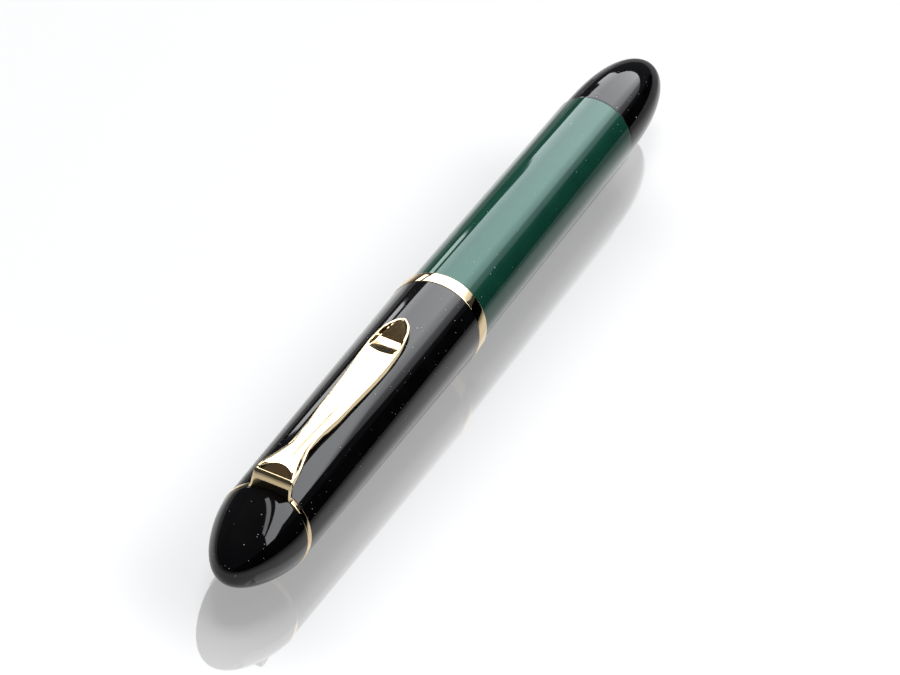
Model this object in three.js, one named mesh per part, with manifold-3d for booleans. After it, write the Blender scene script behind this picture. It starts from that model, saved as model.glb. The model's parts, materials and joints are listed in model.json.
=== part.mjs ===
// A piston-filling fountain pen with its screw cap closed.
//
// Millimetres, +Z up. Every x below is measured from the tip of the cap's crown along the pen's axis,
// and every r from that axis. The pen lies on its cap's lip with the clip straight up, and the model's
// origin is under the middle of its length.
import * as THREE from 'three';
import { mergeVertices } from 'three/addons/utils/BufferGeometryUtils.js';
import Module from 'manifold-3d';

const wasm = await Module();
wasm.setup();

// ---------------------------------------------------------------- driving dimensions

const PEN_LENGTH = 126.7;
const FACETS = 48;                 // flats round a large turned piece
const SMALL_FACETS = 32;           // flats round a small inner piece
const RUNNING_GAP = 0.15;          // radial room between pieces that turn or slide in each other
const THREAD_GAP = 0.2;            // room over the crests of a thread
const FIT_GAP = 0.1;               // room in a fixed joint

const CROWN_LENGTH = 10.45;        // black dome in front of the clip's ring
const CROWN_POWER = 1.37;          // the dome's fullness
const CROWN_SLEEVE_R = 4.75;       // threaded sleeve of the crown, inside the cap tube
const CROWN_SLEEVE_X = 16;
const CROWN_BORE_R = 4.25;

const RING_THICKNESS = 1;          // the clip's ring, clamped between crown and cap tube
const RING_R = 5.82;
const RING_BORE_R = CROWN_SLEEVE_R + RUNNING_GAP;
const CAP_START_X = CROWN_LENGTH + RING_THICKNESS;
const CAP_FRONT_R = 5.76;
const CAP_BORE_R = 4.95;           // bore round the grip section
const CAP_THREAD_X = 44.5;         // where the bore widens for the cap's thread
const CAP_THREAD_BORE_R = 5.4;
const CAP_MOUTH_BORE_R = 5.55;

const LIP_X = 60.65;               // open end of the cap
const LIP_R = 6.3;
const BAND_WIDTH = 2.18;
const BAND_BORE_R = 5.95;
const BAND_X = LIP_X - BAND_WIDTH;
const BAND_SEAT_R = BAND_BORE_R - 0.08;    // the cap tube's end, turned down inside the band
const BAND_SEAT_WIDTH = 1.1;

const LINER_WALL = 0.6;
const LINER_BORE_R = 3.5;
const LINER_FRONT_X = 7;
const LINER_FRONT_WALL = 0.8;
const LINER_SHOULDER_X = CROWN_SLEEVE_X + 0.3;

const SECTION_X = 26;              // lip of the grip section
const SECTION_END_X = 54.5;
const THREAD_START_X = 46;
const THREAD_END_X = 52;
const THREAD_ROOT_R = 4.85;
const THREAD_CREST_R = 5.2;
const THREAD_LEAD = 3.2;
const THREAD_STARTS = 3;

const SPIGOT_R = 4.6;              // the section's end, inside the ink window
const SPIGOT_LENGTH = 2;

const CHAMBER_R = 4.1;             // ink chamber
const WINDOW_R = 5.25;
const WINDOW_SPIGOT_R = 4.9;       // the window's end, inside the barrel
const WINDOW_SPIGOT_LENGTH = 2.6;
const BARREL_X = 59.85;            // barrel's front edge, just inside the cap's lip
const BARREL_FRONT_R = 5.82;
const BARREL_END_X = 108.4;
const BARREL_TAIL_R = 5.54;
const MECHANISM_BORE_R = 4.75;
const MECHANISM_X = 89;            // where the ink chamber ends and the filling mechanism starts

const KNOB_X = 108.6;
const KNOB_R = 5.32;
const KNOB_POWER = 2.53;           // fullness of the knob's rounded end
const KNOB_RECESS_R = 4.55;        // holds the friction ring against the barrel's end
const KNOB_RECESS_DEPTH = 1.5;
const SPINDLE_BORE_R = 2.15;
const SPINDLE_R = 2.9;
const SPINDLE_CREST_R = 3.25;
const SPINDLE_LEAD = 1.5;
const SPINDLE_FACETS = 20;
const ROD_R = 1.5;
const ROD_CREST_R = 1.95;
const ROD_FLAT = 1.35;             // half the distance across the rod's two flats
const ROD_LEAD = 8.5;

const NIB_TIP_X = 8.4;
const NIB_SHEET = 0.3;
const COLLAR_R = 3.4;
const COLLAR_BORE_R = 2.8;
const COLLAR_END_X = SECTION_X + 13.2;
const FEED_END_X = SECTION_X + 16.5;

const CLIP_TOP = 8;                // top of the clip's bend above the axis
const CLIP_SHEET = 0.75;
const CLIP_TIP_X = 47.4;
const CLIP_SEAT_X = 42.5;          // where the clip's lower face comes nearest to the cap
const CLIP_SEAT_DROP = 0.36;       // how far that face bulges below the strip
const CLIP_SEAT_REACH = 2.6;
const CLIP_PIVOT = 6.7;            // height above the axis about which the clip bends

const AXIS_HEIGHT = LIP_R * Math.cos(Math.PI / FACETS);

// ---------------------------------------------------------------- solids

// Welds the vertices of a closed geometry, drops its flat triangles and turns its faces outwards.
function closed(geometry) {
  geometry.deleteAttribute('normal');
  geometry.deleteAttribute('uv');
  const welded = mergeVertices(geometry, 1e-5);
  const index = welded.index.array;
  const position = welded.attributes.position;
  const kept = [];
  let volume = 0;
  const [a, b, c] = [new THREE.Vector3(), new THREE.Vector3(), new THREE.Vector3()];
  for (let i = 0; i < index.length; i += 3) {
    const corners = [index[i], index[i + 1], index[i + 2]];
    if (new Set(corners).size < 3) continue;
    kept.push(...corners);
    a.fromBufferAttribute(position, corners[0]);
    b.fromBufferAttribute(position, corners[1]);
    c.fromBufferAttribute(position, corners[2]);
    volume += a.dot(b.cross(c));
  }
  welded.setIndex(volume < 0 ? kept.reverse() : kept);
  return welded;
}

function toManifold(geometry) {
  return new wasm.Manifold(new wasm.Mesh({
    numProp: 3,
    vertProperties: new Float32Array(geometry.attributes.position.array),
    triVerts: new Uint32Array(geometry.index.array),
  }));
}

function fromManifold(solid) {
  const mesh = solid.getMesh();
  const geometry = new THREE.BufferGeometry();
  geometry.setAttribute('position', new THREE.BufferAttribute(mesh.vertProperties, 3));
  geometry.setIndex(new THREE.BufferAttribute(mesh.triVerts, 1));
  return geometry;
}

function cut(body, ...tools) {
  return fromManifold(tools.reduce((left, tool) => left.subtract(toManifold(tool)), toManifold(body)));
}

function join(first, ...others) {
  return fromManifold(others.reduce((sum, piece) => sum.add(toManifold(piece)), toManifold(first)));
}

function overlap(body, tool) {
  return fromManifold(toManifold(body).intersect(toManifold(tool)));
}

// A piece turned about the pen's axis from [x, r] corners. Its lowest and highest facets are level.
// An outline that doesn't both start and end on the axis closes on itself.
function turned(outline, facets = FACETS) {
  const points = outline.map(([x, r]) => new THREE.Vector2(r, x));
  const onAxis = points[0].x === 0 && points.at(-1).x === 0;
  if (!onAxis) points.push(points[0].clone());
  const geometry = new THREE.LatheGeometry(points, facets, Math.PI / facets);
  geometry.rotateZ(-Math.PI / 2);
  return closed(geometry);
}

// A tube or washer with straight walls.
function tube(startX, endX, outerR, innerR, facets = FACETS) {
  return turned([[startX, innerR], [startX, outerR], [endX, outerR], [endX, innerR]], facets);
}

function bar(startX, endX, r, facets = SMALL_FACETS) {
  return turned([[startX, 0], [startX, r], [endX, r], [endX, 0]], facets);
}

function box(startX, endX, halfWidth, lowZ, highZ) {
  const geometry = new THREE.BoxGeometry(endX - startX, 2 * halfWidth, highZ - lowZ);
  geometry.translate((startX + endX) / 2, 0, (lowZ + highZ) / 2);
  return closed(geometry);
}

// The side faces of a skin over rows of points, each row going once round the piece.
function sideFaces(rowCount, round, first) {
  const index = [];
  for (let row = 0; row + 1 < rowCount; row++) {
    for (let k = 0; k < round; k++) {
      const next = (k + 1) % round;
      const here = first + row * round;
      const there = here + round;
      index.push(here + k, here + next, there + next, here + k, there + next, there + k);
    }
  }
  return index;
}

function indexed(positions, index) {
  const geometry = new THREE.BufferGeometry();
  geometry.setAttribute('position', new THREE.Float32BufferAttribute(positions.flat(), 3));
  geometry.setIndex(index);
  return closed(geometry);
}

// A solid over rows of points, closed by a fan to a point at each end.
function lofted(rows, startPoint, endPoint) {
  const round = rows[0].length;
  const positions = [startPoint, ...rows.flat(), endPoint];
  const last = positions.length - 1;
  const index = sideFaces(rows.length, round, 1);
  for (let k = 0; k < round; k++) {
    const next = (k + 1) % round;
    index.push(0, 1 + next, 1 + k, last, last - round + k, last - round + next);
  }
  return indexed(positions, index);
}

// A bent sheet: each row runs across its outer face and back across its inner face.
function bentSheet(rows) {
  const round = rows[0].length;
  const lastRow = (rows.length - 1) * round;
  const index = sideFaces(rows.length, round, 0);
  for (let k = 0; k + 1 < round / 2; k++) {
    const below = round - 1 - k;
    const [here, there] = [lastRow + k, lastRow + below];
    index.push(k, below, below - 1, k, below - 1, k + 1);
    index.push(here, there - 1, there, here, here + 1, there - 1);
  }
  return indexed(rows.flat(), index);
}

// A right-handed screw: its radius rises from root to crest along the helix and fades out at both ends.
function screw({ startX, endX, rootR, crestR, lead, starts, facets }) {
  const STEPS_PER_PITCH = 3;
  const pitch = lead / starts;
  const steps = Math.round((endX - startX) / pitch * STEPS_PER_PITCH);
  const rows = [];
  for (let i = 0; i <= steps; i++) {
    const x = startX + (endX - startX) * i / steps;
    const fade = Math.min(1, i, steps - i);
    const row = [];
    for (let k = 0; k < facets; k++) {
      const angle = 2 * Math.PI * (k + 0.5) / facets;
      const wave = 0.5 + 0.5 * Math.cos(2 * Math.PI * (x / pitch - starts * angle / (2 * Math.PI)));
      const r = rootR + (crestR - rootR) * fade * wave;
      row.push([x, r * Math.cos(angle), r * Math.sin(angle)]);
    }
    rows.push(row);
  }
  return lofted(rows, [startX, 0, 0], [endX, 0, 0]);
}

// An [x, z] outline in the pen's upright plane, made `2 * halfWidth` wide.
function sideCut(outline, halfWidth) {
  const shape = new THREE.Shape(outline.map(([x, z]) => new THREE.Vector2(x, z)));
  const geometry = new THREE.ExtrudeGeometry(shape, { depth: 2 * halfWidth, bevelEnabled: false });
  geometry.rotateX(Math.PI / 2);
  geometry.translate(0, halfWidth, 0);
  return closed(geometry);
}

// A plate standing across the pen, tapering from one half width at lowZ to another at highZ.
function crossPlate(startX, endX, lowZ, lowHalf, highZ, highHalf) {
  const corners = [[lowZ, -lowHalf], [lowZ, lowHalf], [highZ, highHalf], [highZ, -highHalf]];
  const shape = new THREE.Shape(corners.map(([z, y]) => new THREE.Vector2(-z, y)));
  const geometry = new THREE.ExtrudeGeometry(shape, { depth: endX - startX, bevelEnabled: false });
  geometry.rotateY(Math.PI / 2);
  geometry.translate(startX, 0, 0);
  return closed(geometry);
}

// A plan outline given by half its width at each x, from lowZ to highZ.
function planCut(halfWidths, lowZ, highZ) {
  const near = halfWidths.map(([x, y]) => new THREE.Vector2(x, -y));
  const far = halfWidths.map(([x, y]) => new THREE.Vector2(x, y)).reverse();
  const geometry = new THREE.ExtrudeGeometry(new THREE.Shape([...near, ...far]), {
    depth: highZ - lowZ,
    bevelEnabled: false,
  });
  geometry.translate(0, 0, lowZ);
  return closed(geometry);
}

function smooth(points, count) {
  const curve = new THREE.SplineCurve(points.map(([x, y]) => new THREE.Vector2(x, y)));
  return curve.getPoints(count).map((point) => [point.x, point.y]);
}

function steps(count) {
  return Array.from({ length: count + 1 }, (_, i) => i / count);
}

// ---------------------------------------------------------------- cap

function capRadius(x) {
  return CAP_FRONT_R + (LIP_R - CAP_FRONT_R) * (x - CAP_START_X) / (LIP_X - CAP_START_X);
}

function capCrown() {
  const dome = steps(9).map((t) => {
    const x = CROWN_LENGTH * t ** 1.6;
    return [x, CAP_FRONT_R * Math.sqrt(1 - (1 - x / CROWN_LENGTH) ** CROWN_POWER)];
  });
  const HOLLOW_X = 4.2;
  const HOLLOW_END_R = 2.6;
  const HOLLOW_CONE_X = 7.5;
  const hollow = [
    [CROWN_LENGTH, CROWN_SLEEVE_R],
    [CROWN_SLEEVE_X, CROWN_SLEEVE_R],
    [CROWN_SLEEVE_X, CROWN_BORE_R],
    [HOLLOW_CONE_X, CROWN_BORE_R],
    [HOLLOW_X, HOLLOW_END_R],
    [HOLLOW_X, 0],
  ];
  return turned([...dome, ...hollow]);
}

function capTube() {
  return turned([
    [CAP_START_X, RING_BORE_R],
    [CAP_START_X, CAP_FRONT_R],
    [BAND_X, capRadius(BAND_X)],
    [BAND_X, BAND_SEAT_R],
    [BAND_X + BAND_SEAT_WIDTH, BAND_SEAT_R],
    [BAND_X + BAND_SEAT_WIDTH, CAP_MOUTH_BORE_R],
    [THREAD_END_X + 1, CAP_MOUTH_BORE_R],
    [THREAD_END_X + 1, CAP_THREAD_BORE_R],
    [CAP_THREAD_X, CAP_THREAD_BORE_R],
    [CAP_THREAD_X - 0.5, CAP_BORE_R],
    [LINER_SHOULDER_X, CAP_BORE_R],
    [LINER_SHOULDER_X, RING_BORE_R],
  ]);
}

function capBand() {
  const EDGE = 0.12;
  return turned([
    [BAND_X, BAND_BORE_R],
    [BAND_X, LIP_R - EDGE],
    [BAND_X + EDGE, LIP_R],
    [LIP_X - EDGE, LIP_R],
    [LIP_X, LIP_R - EDGE],
    [LIP_X, BAND_BORE_R],
  ]);
}

function innerCap() {
  const frontR = LINER_BORE_R + LINER_WALL;
  const seatR = CAP_BORE_R - RUNNING_GAP;
  return turned([
    [LINER_FRONT_X, 0],
    [LINER_FRONT_X, LINER_BORE_R],
    [LINER_FRONT_X + LINER_FRONT_WALL, frontR],
    [LINER_SHOULDER_X, frontR],
    [LINER_SHOULDER_X, seatR],
    [SECTION_X - 0.1, seatR],
    [SECTION_X - 0.1, LINER_BORE_R],
    [LINER_FRONT_X + LINER_FRONT_WALL, LINER_BORE_R],
    [LINER_FRONT_X + LINER_FRONT_WALL, 0],
  ], SMALL_FACETS);
}

// ---------------------------------------------------------------- clip

const NECK_FOOT_HALF = 3.3;
const NECK_MIDDLE_HALF = 2.75;
const NECK_TOP_HALF = 2.45;

// The clip's ring with the foot of the neck that stands on it.
function clipRing() {
  const ring = tube(CROWN_LENGTH, CAP_START_X, RING_R, RING_BORE_R);
  const lowZ = RING_BORE_R + 0.1;
  const highZ = CLIP_PIVOT - 0.1;
  const foot = crossPlate(CROWN_LENGTH, CAP_START_X, lowZ, NECK_FOOT_HALF, highZ, NECK_MIDDLE_HALF);
  const inside = bar(CROWN_LENGTH - 1, CAP_START_X + 1, RING_BORE_R, FACETS);
  return cut(join(ring, foot), inside);
}

// Height above the axis of the clip's upper face, from its bend to its tip.
const CLIP_UPPER = [
  [CROWN_LENGTH, 7.0],
  [CROWN_LENGTH + 0.3, 7.62],
  [11.7, 7.97],
  [13.2, CLIP_TOP],
  [16, 7.84],
  [20, 7.5],
  [24, 7.34],
  [30, 7.17],
  [34, 7.1],
  [37, 7.2],
  [40, 7.37],
  [43.5, 7.6],
  [CLIP_TIP_X, 7.93],
];

// Half the clip's width along its length: broad at the bend, waisted, then swelling to a round tip.
const CLIP_HALF_WIDTHS = [
  [11.4, NECK_TOP_HALF],
  [13.2, 2.3],
  [15.8, 1.75],
  [18.4, 1.26],
  [20.2, 1.18],
  [22, 1.2],
  [26.5, 1.55],
  [33, 1.82],
  [39, 2.05],
  [41, 2.05],
  [43, 1.97],
  [45, 1.65],
  [46, 1.33],
  [46.8, 0.9],
  [CLIP_TIP_X - 0.2, 0.53],
];

// Thickness of the clip at a place along it: the strip, and the bulge that seats on the cap.
function clipDepth(x) {
  const reach = (x - CLIP_SEAT_X) / CLIP_SEAT_REACH;
  return CLIP_SHEET + CLIP_SEAT_DROP * Math.exp(-reach * reach);
}

function clip() {
  const STEPS = 22;
  const FILLET = 0.75;             // behind the bend, where the arm's lower face leaves the neck
  const footZ = CLIP_PIVOT + 0.1;
  const upper = smooth(CLIP_UPPER, STEPS);
  const lower = upper.map(([x, z]) => [x, z - clipDepth(x)]).reverse();
  const arm = lower.filter(([x]) => x > CAP_START_X + FILLET);
  const neck = [[CAP_START_X, CLIP_TOP - CLIP_SHEET - FILLET / 3], [CAP_START_X, footZ]];
  const side = sideCut([...upper, ...arm, ...neck, [CROWN_LENGTH, footZ]], 2 * NECK_TOP_HALF);
  const widths = [
    [CROWN_LENGTH - 0.1, NECK_TOP_HALF + 0.1],
    ...smooth(CLIP_HALF_WIDTHS, STEPS),
    [CLIP_TIP_X + 0.05, 0.1],
  ];
  const plan = planCut(widths, CLIP_PIVOT - 1, CLIP_TOP + 1);
  const clearance = turned([
    [CAP_START_X + 1, 0],
    [CAP_START_X + 1, capRadius(CAP_START_X) + RUNNING_GAP],
    [LIP_X, LIP_R + RUNNING_GAP],
    [LIP_X, 0],
  ]);
  return cut(overlap(side, plan), clearance);
}

// ---------------------------------------------------------------- grip section, nib and feed

function section() {
  const LIP_EDGE_R = 4.35;
  const LIP_BEAD_R = 4.62;
  const GRIP_R = 4.42;
  const FEED_BORE_R = 2.6;
  const seatR = COLLAR_R + FIT_GAP;
  const grip = turned([
    [SECTION_X, seatR],
    [SECTION_X, LIP_EDGE_R],
    [SECTION_X + 0.4, LIP_BEAD_R],
    [SECTION_X + 1.4, LIP_BEAD_R],
    [SECTION_X + 3, GRIP_R],
    [SECTION_X + 8, GRIP_R],
    [THREAD_START_X - 1, THREAD_ROOT_R - 0.07],
    [THREAD_START_X, THREAD_ROOT_R],
    [THREAD_END_X, THREAD_ROOT_R],
    [THREAD_END_X + 0.4, WINDOW_R],
    [SECTION_END_X, WINDOW_R],
    [SECTION_END_X, SPIGOT_R],
    [SECTION_END_X + SPIGOT_LENGTH, SPIGOT_R],
    [SECTION_END_X + SPIGOT_LENGTH, FEED_BORE_R],
    [COLLAR_END_X + 1.8, FEED_BORE_R],
    [COLLAR_END_X + 0.3, seatR],
  ], SMALL_FACETS);
  const thread = screw({
    startX: THREAD_START_X,
    endX: THREAD_END_X,
    rootR: THREAD_ROOT_R + 0.02,
    crestR: THREAD_CREST_R,
    lead: THREAD_LEAD,
    starts: THREAD_STARTS,
    facets: SMALL_FACETS,
  });
  const core = bar(THREAD_START_X - 1, THREAD_END_X + 1, THREAD_ROOT_R - 0.4);
  return join(grip, cut(thread, core));
}

function nibCollar() {
  const TAIL_R = 3.1;
  const TAIL_LENGTH = 3.2;
  const startX = SECTION_X + 2 * FIT_GAP;
  return turned([
    [startX, COLLAR_BORE_R],
    [startX, COLLAR_R],
    [COLLAR_END_X - TAIL_LENGTH, TAIL_R],
    [COLLAR_END_X, TAIL_R],
    [COLLAR_END_X, COLLAR_BORE_R],
  ], SMALL_FACETS);
}

// Along the nib: the top line's height, the bend's radius, and half the width round the bend.
const NIB_STATIONS = [
  { x: NIB_TIP_X + 0.45, top: 0.95, bend: 1.3, half: 0.3 },
  { x: NIB_TIP_X + 2.5, top: 1.42, bend: 1.7, half: 0.85 },
  { x: NIB_TIP_X + 5.5, top: 1.95, bend: 2.3, half: 1.9 },
  { x: NIB_TIP_X + 8, top: 2.28, bend: 2.7, half: 2.95 },
  { x: NIB_TIP_X + 9.5, top: 2.42, bend: 2.85, half: 3.35 },
  { x: NIB_TIP_X + 11.5, top: 2.53, bend: 2.85, half: 3.4 },
  { x: NIB_TIP_X + 14, top: 2.62, bend: 2.75, half: 3.15 },
  { x: SECTION_X, top: 2.7, bend: 2.7, half: 2.95 },
  { x: SECTION_X + 9, top: 2.7, bend: 2.7, half: 2.95 },
];

function nib() {
  const ACROSS = 12;
  const HOLE_X = NIB_TIP_X + 9.3;
  const HOLE_R = 0.6;
  const SLIT_HALF = 0.06;
  const rows = NIB_STATIONS.map(({ x, top, bend, half }) => {
    const arc = (r) => steps(ACROSS).map((t) => {
      const angle = (2 * t - 1) * half / bend;
      return [x, r * Math.sin(angle), top - bend + r * Math.cos(angle)];
    });
    return [...arc(bend), ...arc(bend - NIB_SHEET).reverse()];
  });
  const sheet = bentSheet(rows);
  const slit = box(NIB_TIP_X - 1, HOLE_X, SLIT_HALF, 0, 4);
  const hole = new THREE.CylinderGeometry(HOLE_R, HOLE_R, 4, 20);
  hole.rotateX(Math.PI / 2);
  hole.translate(HOLE_X, 0, 2);
  return cut(sheet, slit, closed(hole));
}

// The writing pellet welded under the tines, with the slit running into its upper part.
function nibTipping() {
  const PELLET_R = 0.42;
  const pellet = new THREE.SphereGeometry(PELLET_R, 12, 8);
  pellet.scale(1.15, 1, 1);
  pellet.translate(NIB_TIP_X + PELLET_R * 1.15, 0, 0.35);
  const slit = box(NIB_TIP_X - 1, NIB_TIP_X + 2, 0.06, 0.2, 2);
  const tines = box(NIB_TIP_X + 0.4, NIB_TIP_X + 2, 1, 0.55, 2);
  return cut(closed(pellet), slit, tines);
}

function feed() {
  const ROOT_R = 2.3;
  const FIN_X = NIB_TIP_X + 8.4;
  const FIN_PITCH = 0.85;
  const FIN_SLOT = 0.4;
  const FIN_COUNT = 10;
  const body = turned([
    [NIB_TIP_X + 3.4, 0],
    [NIB_TIP_X + 3.6, 0.55],
    [NIB_TIP_X + 8, 1.75],
    [NIB_TIP_X + 9.5, ROOT_R - 0.15],
    [SECTION_X - 0.5, ROOT_R],
    [FEED_END_X - 1, ROOT_R],
    [FEED_END_X, 1.6],
    [FEED_END_X, 0],
  ], SMALL_FACETS);
  const slots = [];
  for (let i = 0; i < FIN_COUNT; i++) {
    const x = FIN_X + i * FIN_PITCH;
    slots.push(box(x, x + FIN_SLOT, 3, -3, -0.9));
  }
  const channel = box(NIB_TIP_X + 3, FEED_END_X + 0.5, 0.2, 0.6, 3);
  return cut(body, ...slots, channel);
}

// ---------------------------------------------------------------- barrel and piston

function inkWindow() {
  const seatR = SPIGOT_R + FIT_GAP;
  const seatEndX = SECTION_END_X + SPIGOT_LENGTH + FIT_GAP;
  return turned([
    [SECTION_END_X, seatR],
    [SECTION_END_X, WINDOW_R],
    [BARREL_X, WINDOW_R],
    [BARREL_X, WINDOW_SPIGOT_R],
    [BARREL_X + WINDOW_SPIGOT_LENGTH, WINDOW_SPIGOT_R],
    [BARREL_X + WINDOW_SPIGOT_LENGTH, CHAMBER_R],
    [seatEndX, CHAMBER_R],
    [seatEndX, seatR],
  ]);
}

function barrelRadius(x) {
  return BARREL_FRONT_R + (BARREL_TAIL_R - BARREL_FRONT_R) * (x - LIP_X) / (BARREL_END_X - LIP_X);
}

function barrel() {
  const EDGE = 0.15;
  const seatR = WINDOW_SPIGOT_R + FIT_GAP;
  const seatEndX = BARREL_X + WINDOW_SPIGOT_LENGTH + FIT_GAP;
  return turned([
    [BARREL_X, seatR],
    [BARREL_X, BARREL_FRONT_R - EDGE],
    [BARREL_X + EDGE, BARREL_FRONT_R],
    [LIP_X, BARREL_FRONT_R],
    [BARREL_END_X - EDGE, barrelRadius(BARREL_END_X)],
    [BARREL_END_X, BARREL_TAIL_R - EDGE],
    [BARREL_END_X, MECHANISM_BORE_R],
    [MECHANISM_X, MECHANISM_BORE_R],
    [MECHANISM_X, CHAMBER_R],
    [seatEndX, CHAMBER_R],
    [seatEndX, seatR],
  ]);
}

const PISTON_X = 82.6;
const PISTON_END_X = 88.2;
const PISTON_WALL = 2.2;           // between the ink and the rod's socket
const FLANGE_R = 3.7;              // the two flanges that hold the seal
const FRONT_FLANGE = 1.1;
const REAR_FLANGE = 0.7;
const SEAL_SEAT_R = 3;
const ROD_END_X = 121.5;
const GUIDE_X = MECHANISM_X + 0.2;
const GUIDE_END_X = 106;

function pistonHead() {
  const CHAMFER = 0.5;
  const socketR = ROD_CREST_R + FIT_GAP;
  return turned([
    [PISTON_X, 0],
    [PISTON_X, FLANGE_R - CHAMFER],
    [PISTON_X + CHAMFER, FLANGE_R],
    [PISTON_X + FRONT_FLANGE, FLANGE_R],
    [PISTON_X + FRONT_FLANGE, SEAL_SEAT_R],
    [PISTON_END_X - REAR_FLANGE, SEAL_SEAT_R],
    [PISTON_END_X - REAR_FLANGE, FLANGE_R],
    [PISTON_END_X, FLANGE_R],
    [PISTON_END_X, socketR],
    [PISTON_X + PISTON_WALL, socketR],
    [PISTON_X + PISTON_WALL, 0],
  ], SMALL_FACETS);
}

// A ring with a lip at each end that just clears the chamber's wall.
function pistonSeal() {
  const LIP_SEAL_R = CHAMBER_R - 0.08;
  const WAIST_R = 3.7;
  const LIP_WIDTH = 0.6;
  const LIP_SLOPE = 0.5;
  const boreR = SEAL_SEAT_R + FIT_GAP;
  const startX = PISTON_X + FRONT_FLANGE + FIT_GAP;
  const endX = PISTON_END_X - REAR_FLANGE - FIT_GAP;
  return turned([
    [startX, boreR],
    [startX, LIP_SEAL_R],
    [startX + LIP_WIDTH, LIP_SEAL_R],
    [startX + LIP_WIDTH + LIP_SLOPE, WAIST_R],
    [endX - LIP_WIDTH - LIP_SLOPE, WAIST_R],
    [endX - LIP_WIDTH, LIP_SEAL_R],
    [endX, LIP_SEAL_R],
    [endX, boreR],
  ]);
}

// A two-start screw with flats on two sides, which the guide's slot holds from turning.
function pistonRod() {
  const rod = screw({
    startX: PISTON_X + PISTON_WALL + 2 * FIT_GAP,
    endX: ROD_END_X,
    rootR: ROD_R,
    crestR: ROD_CREST_R,
    lead: ROD_LEAD,
    starts: 2,
    facets: 16,
  });
  return overlap(rod, box(PISTON_X, ROD_END_X + 1, 2 * ROD_CREST_R, -ROD_FLAT, ROD_FLAT));
}

// The sleeve fixed in the barrel's tail: its slot stops the rod from turning, its bore takes the spindle.
function pistonGuide() {
  const WEB = 2.5;
  const outerR = MECHANISM_BORE_R - RUNNING_GAP;
  const boreR = SPINDLE_CREST_R + THREAD_GAP;
  const sleeve = turned([
    [GUIDE_X, 0],
    [GUIDE_X, outerR],
    [GUIDE_END_X, outerR],
    [GUIDE_END_X, boreR],
    [GUIDE_X + WEB, boreR],
    [GUIDE_X + WEB, 0],
  ], SMALL_FACETS);
  const slotHalf = ROD_CREST_R + THREAD_GAP;
  const slotTop = ROD_FLAT + THREAD_GAP;
  return cut(sleeve, box(GUIDE_X - 1, GUIDE_X + WEB + 1, slotHalf, -slotTop, slotTop));
}

function guideLockRing() {
  const outerR = MECHANISM_BORE_R - FIT_GAP;
  const boreR = SPINDLE_CREST_R + THREAD_GAP + RUNNING_GAP;
  return tube(GUIDE_END_X + FIT_GAP, BARREL_END_X - 2 * FIT_GAP, outerR, boreR, SMALL_FACETS);
}

const SPINDLE_X = 93;
const SPINDLE_THREAD_END_X = 104;
const SPINDLE_END_X = 114;

function pistonSpindle() {
  const thread = screw({
    startX: SPINDLE_X,
    endX: SPINDLE_THREAD_END_X,
    rootR: SPINDLE_R,
    crestR: SPINDLE_CREST_R,
    lead: SPINDLE_LEAD,
    starts: 1,
    facets: SPINDLE_FACETS,
  });
  const stem = bar(SPINDLE_THREAD_END_X - 0.5, SPINDLE_END_X, SPINDLE_R, SPINDLE_FACETS);
  const bore = bar(SPINDLE_X - 1, SPINDLE_END_X + 1, SPINDLE_BORE_R, SPINDLE_FACETS);
  return cut(join(thread, stem), bore);
}

function frictionRing() {
  const CENTRE_R = 3.85;
  const SECTION_R = 0.5;
  const circle = steps(9).slice(0, -1).map((t) => [
    KNOB_X + KNOB_RECESS_DEPTH / 2 + SECTION_R * Math.cos(2 * Math.PI * t),
    CENTRE_R + SECTION_R * Math.sin(2 * Math.PI * t),
  ]);
  return turned(circle, SMALL_FACETS);
}

function pistonKnob() {
  const EDGE = 0.15;
  const hollowEndX = ROD_END_X + 0.4;
  const seatX = SPINDLE_END_X + 2 * FIT_GAP;
  const seatR = SPINDLE_R + RUNNING_GAP;
  const recessX = KNOB_X + KNOB_RECESS_DEPTH;
  const knobLength = PEN_LENGTH - KNOB_X;
  const end = steps(8).map((t) => {
    const along = 1 - (1 - t) ** 2;
    return [KNOB_X + knobLength * along, KNOB_R * Math.sqrt(Math.max(0, 1 - along ** KNOB_POWER))];
  });
  end[0][0] += EDGE;
  return turned([
    [hollowEndX, 0],
    [hollowEndX, SPINDLE_BORE_R],
    [seatX, SPINDLE_BORE_R],
    [seatX, seatR],
    [recessX, seatR],
    [recessX, KNOB_RECESS_R],
    [KNOB_X, KNOB_RECESS_R],
    [KNOB_X, KNOB_R - EDGE],
    ...end,
  ]);
}

// ---------------------------------------------------------------- materials and assembly

const black = new THREE.MeshStandardMaterial({ color: 0x0b0b0d, roughness: 0.08, metalness: 0 });
const green = new THREE.MeshStandardMaterial({ color: 0x1f4a38, roughness: 0.1, metalness: 0 });
const gold = new THREE.MeshStandardMaterial({ color: 0xd9b679, roughness: 0.08, metalness: 1 });
const smoke = new THREE.MeshStandardMaterial({
  color: 0x2f4a40, roughness: 0.05, metalness: 0, transparent: true, opacity: 0.5,
});
const ebonite = new THREE.MeshStandardMaterial({ color: 0x141414, roughness: 0.5, metalness: 0 });
const nylon = new THREE.MeshStandardMaterial({ color: 0xd9d6cc, roughness: 0.45, metalness: 0 });
const grey = new THREE.MeshStandardMaterial({ color: 0x4a4c50, roughness: 0.5, metalness: 0 });
const rubber = new THREE.MeshStandardMaterial({ color: 0x1a1a1c, roughness: 0.7, metalness: 0 });
const iridium = new THREE.MeshStandardMaterial({ color: 0xc4c6c8, roughness: 0.25, metalness: 1 });

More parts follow.
